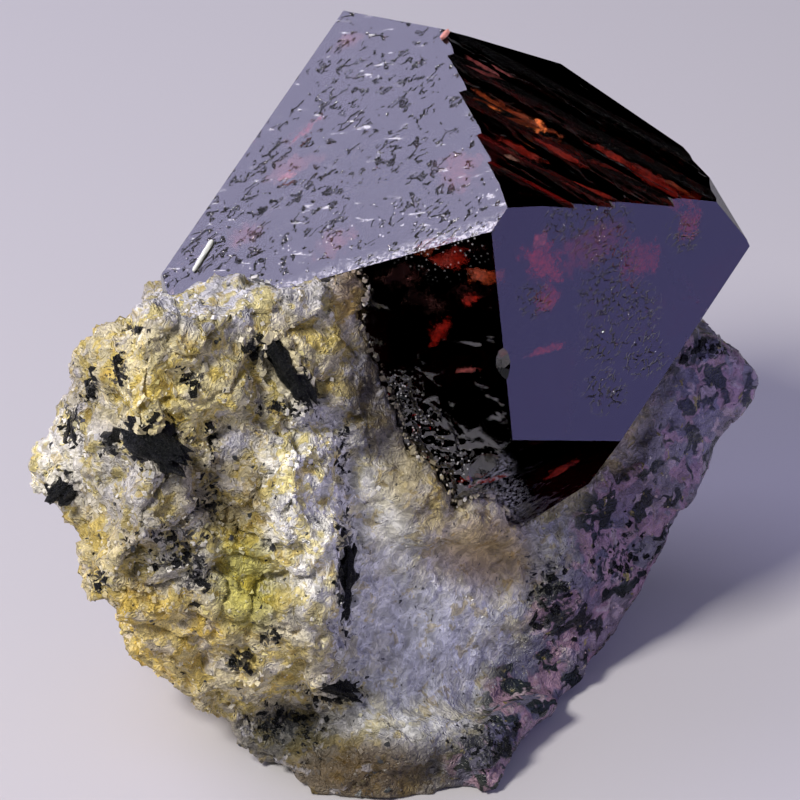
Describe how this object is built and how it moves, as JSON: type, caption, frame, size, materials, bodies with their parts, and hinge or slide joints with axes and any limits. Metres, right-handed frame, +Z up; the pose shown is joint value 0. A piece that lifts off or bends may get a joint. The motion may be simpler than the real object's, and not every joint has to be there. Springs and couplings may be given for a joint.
{
  "type": "zircon in matrix",
  "caption": "Dark red zircon crystal with flat pyramid faces, standing out of a lump of pale feldspar rock with black amphibole, on a flat trimmed base.",
  "frame": {"origin": "centre of the specimen's outline from above, at the table it stands on", "axes": "+Z up from the trimmed base; the display side of the specimen faces -Y, lifted by 30 degrees; +X to the right of someone looking at that side"},
  "size_m": [0.0473, 0.0392, 0.0417],
  "materials": {
    "zircon": "clear dark red crystal with bright flat faces, near-adamantine lustre",
    "feldspar_rock": "rough broken rock, pale cream to ochre, grey and pink grains",
    "amphibole": "black, slightly shiny cleavage"
  },
  "bodies": {
    "root": {"zircon_crystal": "zircon", "matrix": "feldspar_rock", "amphibole_lobe": "amphibole", "amphibole_upper": "amphibole", "amphibole_ledge": "amphibole", "amphibole_foot": "amphibole", "amphibole_knob": "amphibole"}
  },
  "joints": []
}
